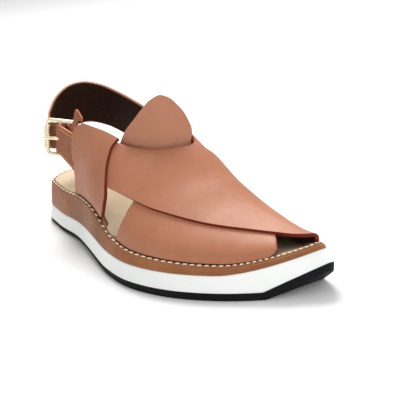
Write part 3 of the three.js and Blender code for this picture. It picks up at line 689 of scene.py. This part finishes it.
# %% [markdown]
# ## The sole
#
# From the floor up: a thin dark outsole, a thick white midsole that flares out towards the floor, and
# a leather-wrapped wedge that is high under the heel and thin under the ball. All three are lofts
# through closed lines round the foot, with a few extra lines where an edge is rounded.

# %% Outsole and midsole
def layer(rows, base, top):
    """Lines of a layer: each row is an inset and a share of the way from base to top, or mm beyond it"""
    return [loop(inset, lambda x, s=share, d=drop: lerp(base(x), top(x), s) + d)
            for inset, share, drop in rows]


def flared(share, extra=0.0):
    return lambda x: toe_flare(x) * share + extra


outsole = loft("outsole_rubber", layer(
    [(1.6, 0, 0), (1.0, 0, 0.12), (0.7, 0, 0.5), (0.35, 0.5, 0),
     (0.12, 1, -0.5), (0.0, 1, -0.15), (0.3, 1, 0.0)],
    floor_height, outsole_top), RUBBER)
keep(outsole, "rubber", "outsole")
midsole = loft("midsole_foam", layer(
    [(0.5, 0, 0.05), (flared(0.0, 0.05), 0, 0.3), (flared(0.08), 0.1, 0), (flared(0.3), 0.35, 0),
     (flared(0.6), 0.65, 0), (flared(0.9), 0.92, 0), (flared(1.0, 0.05), 1, -0.35),
     (flared(1.0, 0.4), 1, -0.02)],
    outsole_top, midsole_top), FOAM)
keep(midsole, "foam", "midsole")
print("midsole height at the toe", round(float(midsole_top(280.0)), 1))

# %% The wrapped wedge
def rim_inset(x):
    return toe_flare(x) + 2.4


def ledge(x):
    along = x / LENGTH
    outer = np.arange(len(x)) < SIDE
    front = np.where(outer, 0.95, 1.1)
    foot = smooth((along - 0.215) / 0.02) * smooth((0.5 - along) / 0.02)
    strap = smooth((along - 0.53) / 0.02) * smooth((front - along) / 0.02)
    return 2.2 + 3 * np.maximum(foot, strap)


wedge_rows = [(flared(1.0, 0.6), 0, 0.05), (flared(1.0, 0.1), 0, 0.3), (flared(1.0, 0.0), 0, 0.9)]
wedge_rows += [(flared(1.0, 2.4 * s - 0.35 * math.sin(math.pi * s)), s, 0) for s in (0.25, 0.5, 0.75)]
wedge_rows += [(flared(1.0, 2.15), 1, -1.1), (flared(1.0, 2.35), 1, -0.45), (flared(1.0, 2.8), 1, -0.08),
               (flared(1.0, 3.4), 1, 0.0), (lambda x: rim_inset(x) + ledge(x) - 0.3, 1, -0.1),
               (lambda x: rim_inset(x) + ledge(x), 1, -0.6), (lambda x: rim_inset(x) + ledge(x), 1, -1.55)]
wedge_loops = [loop(inset, lambda x, s=share, d=drop: lerp(midsole_top(x), rim_height(x), s) + d)
               for inset, share, drop in wedge_rows]
footbed = loft("wrapped_wedge", wedge_loops, RIM_TAN)
keep(footbed, "rim_leather", "footbed")


def insole_inset(x):
    return rim_inset(x) + ledge(x) + 0.3 + 0.6 * smooth((x / LENGTH - 0.9) / 0.05)


insole_rows = [(0.4, -1.25), (0.05, -0.9), (0.0, 0.2), (0.25, 0.5), (0.9, 0.62)]
insole_loops = [loop(lambda x, i=inset: insole_inset(x) + i, lambda x, d=drop: rim_height(x) + d)
                for inset, drop in insole_rows]
insole = loft("insole_pad", insole_loops, INSOLE)
keep(insole, "insole_leather", "insole")

# %% The rim's lockstitch
# x along the foot, length of one stitch there; the hand that sewed the heel took longer stitches
OUTER_PITCH = [(0, 6), (40, 6), (60, 7.4), (95, 8.4), (130, 8), (160, 6.3), (200, 5.6), (240, 4.6),
               (270, 3.5), (290, 3.2)]
outer_pitch = follow(OUTER_PITCH, 1)
seam_line = loop(lambda x: rim_inset(x) + 1.15, lambda x: rim_height(x) + 0.12)
inner_seam = np.vstack([seam_line[SIDE:], seam_line[:1]])[::-1]
for side, path, pitch in (("outer", seam_line[:SIDE + 1], outer_pitch),
                          ("inner", inner_seam, lambda x: 5.6 + 0 * x)):
    places, ahead, steps = spaced(path, pitch)
    upward = np.tile([0.0, 0.0, 1.0], (len(places), 1))
    seam = sew("rim_seam_" + side, places, ahead, upward, steps, CREAM, 1.0, 0.72, 0.5, 0.12)
    keep(seam, "rim_leather")

# %% [markdown]
# ## The straps
#
# Each strap is a flat piece of leather pulled over the last. The cutter's table gives its two edges
# along the foot for every place across it. The strap that lies on top is lifted by one thickness.

# %% Straps that cross over the foot
# across from the strap's tail, rear edge, front edge of the upper strap, front edge of the lower strap
CROSS_STRAP = [
    (0, 0.29, 0.385, 0.385), (0.1, 0.335, 0.43, 0.43), (0.138, 0.354, 0.474, 0.481),
    (0.17, 0.372, 0.522, 0.529), (0.195, 0.386, 0.571, 0.57), (0.231, 0.404, 0.631, 0.616),
    (0.262, 0.418, 0.686, 0.652), (0.286, 0.43, 0.732, 0.685), (0.31, 0.457, 0.777, 0.71),
    (0.334, 0.483, 0.817, 0.73), (0.357, 0.506, 0.846, 0.752), (0.382, 0.528, 0.884, 0.77),
    (0.411, 0.545, 0.927, 0.788), (0.441, 0.555, 0.944, 0.806), (0.467, 0.558, 0.951, 0.824),
    (0.5, 0.563, 0.955, 0.845), (0.561, 0.568, 0.957, 0.873), (0.62, 0.573, 0.959, 0.89),
    (0.7, 0.583, 0.961, 0.907), (0.793, 0.594, 0.962, 0.917), (0.872, 0.591, 0.963, 0.922),
    (0.933, 0.58, 0.963, 0.921), (0.983, 0.568, 0.963, 0.917), (1, 0.556, 0.963, 0.915)]
strap_rear = follow(CROSS_STRAP, 1)
strap_front = {"over": follow(CROSS_STRAP, 2), "under": follow(CROSS_STRAP, 3)}
LEATHER_MM, STEP_MM, RISE_MM = 2.4, 1.8, 10.0


def rise_from_rim(place):
    return smooth((place[..., 2] - rim_height(place[..., 0])) / RISE_MM)


def cross_strap(name, kind, material):
    over = kind == "over"

    def place(u, v):
        x = lerp(strap_rear(u), strap_front[kind](u), v) * LENGTH
        return on_last(x, u if over else 1 - u)

    def lift(middle):
        clear = smooth((middle[..., 0] / LENGTH - 0.49) / 0.07)
        return STEP_MM * clear * rise_from_rim(middle) if over else 0 * middle[..., 0]
    return leather_sheet(name, place, (200, 80), LEATHER_MM, material, lift, round_edge=0.45,
                         counts=(150, 60), flip=over)


keep(cross_strap("under_strap", "under", TAN), "upper_leather", "upper")
keep(cross_strap("over_strap", "over", TAN), "upper_leather")

# %% The quarters beside the ankle
# share of the height, rear edge, front edge
QUARTER = [(0, 0.248, 0.458), (0.1, 0.262, 0.488), (0.25, 0.278, 0.502), (0.38, 0.277, 0.503),
           (0.54, 0.264, 0.488), (0.7, 0.259, 0.468), (0.82, 0.261, 0.457), (0.92, 0.27, 0.451),
           (1, 0.305, 0.452)]
quarter_rear, quarter_front = follow(QUARTER, 1), follow(QUARTER, 2)


def on_quarter(side):
    tall = 49.5 * (1 if side == "outer" else 0.93)

    def place(u, v):
        x = lerp(quarter_rear(u), quarter_front(u), v) * LENGTH
        across = across_at(x, u * (tall - 4 * v))
        return on_last(x, across if side == "outer" else 1 - across)
    return place


for side in ("outer", "inner"):
    quarter = leather_sheet(side + "_quarter", on_quarter(side), (52, 56), LEATHER_MM, TAN,
                            lambda middle: STEP_MM * rise_from_rim(middle), round_edge=0.45,
                            counts=(60, 60), flip=side == "outer")
    keep(quarter, "upper_leather")

# %% [markdown]
# ## Tongue
#
# The tongue is tucked under the collar of the straps and stands up round the front of the shin. It is
# cut as a rounded triangle, so its height is a table over its width.

# %% The tongue
# span of the width, share of the height, lean back and to the inner side for each millimetre of rise
TONGUE = [(0, 0.03, 0.4, 0), (0.06, 0.17, 0.4, 0), (0.2, 0.52, 0.38, 0), (0.3, 0.76, 0.32, 0),
          (0.4, 0.94, 0.26, 0), (0.49, 1, 0.22, 0.02), (0.57, 0.92, 0.2, 0.08),
          (0.65, 0.66, 0.18, 0.18), (0.74, 0.38, 0.15, 0.3), (0.86, 0.19, 0.15, 0.4),
          (1, 0.08, 0.15, 0.5)]
tongue_share, tongue_back, tongue_side = (follow(TONGUE, column) for column in (1, 2, 3))


def buried(across, ahead, below):
    """A place under the straps, ahead of the collar edge"""
    x = strap_rear(np.minimum(across, 1 - across)) * LENGTH + ahead
    here = on_last(x, across)
    inward = np.cross(on_last(x, across + 0.01) - here, on_last(x + 1, across) - here)
    inward = inward / np.linalg.norm(inward, axis=-1)[..., None]
    return here + inward * np.reshape(below, (*np.shape(below), 1))


TONGUE_START, TONGUE_END, TONGUE_ROOT = 0.305, 0.62, 0.3
TONGUE_HEIGHT, TONGUE_TUCK, TONGUE_SWELL = 35, 12, 3


def on_tongue(u, v):
    across = lerp(TONGUE_START, TONGUE_END, u)
    rise = np.clip((v - TONGUE_ROOT) / 0.7, 0, 1) * TONGUE_HEIGHT * tongue_share(u)
    free = smooth(rise / (0.35 * TONGUE_HEIGHT))
    ahead = lerp(TONGUE_TUCK, -1.2, np.clip(v / TONGUE_ROOT, 0, 1))
    tucked = buried(across, ahead, 3.6 - TONGUE_SWELL * free)
    return tucked + np.stack([-tongue_back(u) * rise, tongue_side(u) * free * rise, rise], axis=-1)


keep(leather_sheet("tongue_flap", on_tongue, (62, 46), 1.7, TONGUE_TAN, counts=(90, 50)),
     "upper_leather", "tongue")

# %% [markdown]
# ## Heel strap
#
# The heel strap has two plies: tan leather outside and a dark lining inside. Both follow one route
# round the heel, from under the inner quarter to the pointed tail beyond the buckle.

# %% The heel strap's two plies
# along, side, rise of the upper edge over the rim, width, lean inwards: shares of the named sizes
HEEL_ROUTE = np.array([
    (0.334, 0.231, 0.707, 0.9, 0), (0.297, 0.248, 0.758, 0.97, 0), (0.238, 0.257, 0.822, 1, 0),
    (0.162, 0.257, 0.892, 1, 0), (0.107, 0.22, 0.952, 1, 0), (0.076, 0.131, 1, 1, 0),
    (0.071, 0.019, 0.994, 1, 0), (0.084, -0.093, 0.937, 0.93, 0), (0.107, -0.185, 0.869, 0.82, 0.05),
    (0.148, -0.278, 0.773, 0.7, 0.14), (0.189, -0.218, 0.722, 0.58, 0.15),
    (0.24, -0.241, 0.71, 0.56, 0.14), (0.253, -0.23, 0.8, 0.5, 0.15),
    (0.264, -0.216, 0.885, 0.3, 0.15), (0.281, -0.203, 0.8, 0.08, 0.15)])
STRAP_RISE, STRAP_WIDTH = 67.0, 31.0


def over_sole(along, side, rise):
    x = along * LENGTH
    return np.stack([x, side * BALL, rim_height(x) + rise * STRAP_RISE], axis=-1)


def on_heel_strap(narrow=0.0):
    """Places on the strap's middle; narrow takes mm off both of its edges"""
    spine = over_sole(*HEEL_ROUTE[:, :3].T)
    # the middle column only keeps rows apart whose width and lean are alike
    steps = np.arange(len(HEEL_ROUTE)) / len(HEEL_ROUTE)
    sizes = np.column_stack([HEEL_ROUTE[:, 3], steps, HEEL_ROUTE[:, 4]])

    def place(u, v):
        top = catmull(spine, u, False)
        share, _, lean = np.moveaxis(catmull(sizes, u, False), -1, 0)
        width = share * STRAP_WIDTH
        v = lerp(narrow / width, 1 - narrow / width, v)
        side = np.sign(top[..., 1]) * (v - 0.5) * width * lean
        return top + np.stack([0 * side, side, -v * width], axis=-1)
    return place


keep(leather_sheet("heel_strap_outside", on_heel_strap(), (210, 30), 1.3, STRAP_TAN_LIT_EDGE, level=0.55,
                   round_edge=0.6, counts=(160, 20), flip=True), "upper_leather", "heel_strap")
keep(leather_sheet("heel_strap_lining", on_heel_strap(0.9), (210, 30), 1.0, LINING, level=-0.65,
                   round_edge=0.45, counts=(160, 20), flip=True), "lining_leather")

# %% [markdown]
# ## Buckle
#
# A rounded wire loop with a centre bar, a roller on the end that takes the strain, and a prong that
# lies on the roller. The whole buckle turns towards the foot and leans with the quarter.

# %% Buckle frame, roller and prong
lean_angle, turn_angle = math.radians(9), math.radians(27.4)
BUCKLE_UP = np.array([0, math.sin(lean_angle), math.cos(lean_angle)])
BUCKLE_ON = np.array([math.cos(turn_angle), math.sin(turn_angle), 0])
BUCKLE_ON = BUCKLE_ON - BUCKLE_UP * (BUCKLE_ON @ BUCKLE_UP)
BUCKLE_ON /= np.linalg.norm(BUCKLE_ON)
BUCKLE_OUT = np.cross(BUCKLE_ON, BUCKLE_UP)
ROLLER_AT = over_sole(np.array(0.1603), -0.3194, 0.594)


def in_buckle(on, up, out=0.0):
    return ROLLER_AT + BUCKLE_ON * on + BUCKLE_UP * up + BUCKLE_OUT * out


frame_path = []
for corner, (on, up) in enumerate([(3, -9), (23, -9), (23, 9), (3, 9)]):
    for angle in np.linspace(0, math.pi / 2, 9) + math.pi + corner * math.pi / 2:
        frame_path.append(in_buckle(on + 3 * math.cos(angle), up + 3 * math.sin(angle)))
keep(tube("buckle_loop", frame_path, 1.6, BRASS, closed=True, out=BUCKLE_OUT), "pale_brass", "buckle_frame")
PIVOT = 0.435 * 26
keep(tube("buckle_centre_bar", [in_buckle(PIVOT, up) for up in np.linspace(-11.5, 11.5, 7)], 1.2, BRASS,
          out=BUCKLE_OUT), "pale_brass")
roller_shape = [(-8.4, 2.25), (-8.3, 2.5), (-8.0, 2.6), (-7.4, 2.6),
                (7.4, 2.6), (8.0, 2.6), (8.3, 2.5), (8.4, 2.25)]
keep(tube("buckle_sleeve", [in_buckle(0, up) for up, _ in roller_shape], [r for _, r in roller_shape],
          BRASS, sides=32, out=BUCKLE_OUT), "pale_brass", "buckle_roller")
eye = 1.2 + 0.3 + 1.1
prong_path = [in_buckle(PIVOT + eye * math.cos(a), 0, eye * math.sin(a))
              for a in np.linspace(-1.3, 0.5, 14) * math.pi]
prong_path += [in_buckle(PIVOT * 0.55, 0, 3.9), in_buckle(0, 0, 4.0), in_buckle(-2.34, 0, 3.6)]
prong_path = catmull(np.array(prong_path), np.linspace(0, 1, 60), False)
prong_radius = np.concatenate([np.full(52, 1.1), np.linspace(1.08, 0.55, 8)])
keep(tube("buckle_pin", prong_path, prong_radius, BRASS, sides=16, out=BUCKLE_UP),
     "pale_brass", "buckle_prong")

# %% [markdown]
# ## Tab
#
# The tab is a narrow piece of the same leather folded round the centre bar and sewn to the quarter.
# It widens towards the quarter and has a line of golden thread along each edge.

# %% The tab that holds the buckle
def on_tab(u, v):
    start = in_buckle(PIVOT, 0, 2.4) + BUCKLE_UP * np.reshape(lerp(10, -10, v), (*np.shape(v), 1))
    end = on_quarter("outer")(lerp(0.86, 0.34, v), 0 * v) + [-0.9, -1.8, 0]
    return start + (end - start) * u[..., None]


keep(leather_sheet("tab_leaf", on_tab, (22, 24), 1.7, STRAP_TAN_LIT_EDGE, round_edge=0.6, counts=(30, 30), flip=True),
     "upper_leather", "buckle_tab")
fold = [in_buckle(PIVOT, up) for up in np.linspace(-10, 10, 9)]
keep(tube("tab_fold", fold, 3.3, STRAP_TAN_LIT_EDGE, sides=28, out=BUCKLE_OUT), "upper_leather")

# %% Golden seams on the tab, and painted shade for its pin hole
def tab_seam(name, share, lift=0.95):
    u = np.linspace(0.12, 0.98, 40)
    v = np.full_like(u, share)
    path = on_tab(u, v)
    inward = np.cross(on_tab(u, v + 0.05) - path, on_tab(u + 0.01, v) - path)
    inward /= np.linalg.norm(inward, axis=1)[:, None]
    out = inward if inward[:, 1].mean() < 0 else -inward
    places, ahead, steps = spaced(path + out * lift, lambda x: 2.3 + 0 * x)
    facing = np.column_stack([np.interp(places[:, 0], path[:, 0], out[:, k]) for k in range(3)])
    return sew(name, places, ahead, facing, steps, GOLD, 0.95, 0.8, 0.3, 0.6)


keep(tab_seam("tab_seam_upper", 0.1), "upper_leather")
keep(tab_seam("tab_seam_lower", 0.9), "upper_leather")
# the pin hole is a short dark brown plug on the tab, painted shade in the hole; the tab is not cut through
hole_at = on_tab(np.array([0.8]), np.array([0.5]))[0]
hole_path = [hole_at + BUCKLE_OUT * lift for lift in (0.4, 0.7, 0.93)]
keep(tube("tab_pin_hole_shade", hole_path, [0.75, 0.75, 0.7], HOLE_SHADE, out=BUCKLE_UP), "upper_leather")

# %% [markdown]
# ## Floor, light and camera
#
# A catalogue picture: a white floor that runs out of sight, a big soft light above and behind, and a
# fill from the front. The camera stands close to where the photograph's perspective puts it.

# %% Floor and lights
def plain_finish(name, colour, rough):
    finish, tree, shader, coords = new_finish(name)
    cloud = noise(tree, coords, 3, 2)
    mixed = blend_colour(tree, cloud, tuple(c * 0.995 for c in colour), colour)
    tree.links.new(mixed, shader.inputs["Base Color"])
    shader.inputs["Roughness"].default_value = rough
    return finish


floor_mesh = bpy.data.meshes.new("studio_floor")
floor_mesh.from_pydata([(-6, -6, 0), (6, -6, 0), (6, 6, 0), (-6, 6, 0)], [], [(0, 1, 2, 3)])
floor_mesh.materials.append(plain_finish("white_paper", (0.8, 0.8, 0.8), 0.9))
floor = bpy.data.objects.new("studio_floor", floor_mesh)
bpy.context.collection.objects.link(floor)


def area_light(name, place, aim, size, power, colour=(1, 1, 1)):
    light = bpy.data.lights.new(name, "AREA")
    light.shape, light.size, light.energy, light.color = "DISK", size, power, colour
    lamp = bpy.data.objects.new(name, light)
    bpy.context.collection.objects.link(lamp)
    lamp.location = place
    direction = mathutils.Vector(aim) - mathutils.Vector(place)
    lamp.rotation_euler = direction.to_track_quat("-Z", "Y").to_euler()
    return lamp


area_light("sky_panel", (-0.58, 0.36, 1.0), (0, 0, 0.03), 0.65, 15.5)
area_light("front_fill", (1.2, 0.0, 0.7), (0, 0, 0.04), 0.9, 6)
world = bpy.data.worlds.new("studio")
world.use_nodes = True
world.node_tree.nodes["Background"].inputs["Color"].default_value = (1, 1, 1, 1)
world.node_tree.nodes["Background"].inputs["Strength"].default_value = 0.7
bpy.context.scene.world = world
bpy.context.scene.view_settings.view_transform = "Standard"

# %% Camera
CAMERA_PLACE = (0.67291, -0.37174, 0.27333)
CAMERA_TURN = (0.724603, 0.496373, 0.321999, 0.353386)
CAMERA_LENS = 110.153
camera_data = bpy.data.cameras.new("photo_camera")
camera_data.lens, camera_data.sensor_width, camera_data.sensor_fit = CAMERA_LENS, 36, "HORIZONTAL"
camera_data.clip_start, camera_data.clip_end = 0.05, 30
camera = bpy.data.objects.new("photo_camera", camera_data)
camera.rotation_mode = "QUATERNION"
camera.location, camera.rotation_quaternion = CAMERA_PLACE, CAMERA_TURN
bpy.context.collection.objects.link(camera)
bpy.context.scene.camera = camera
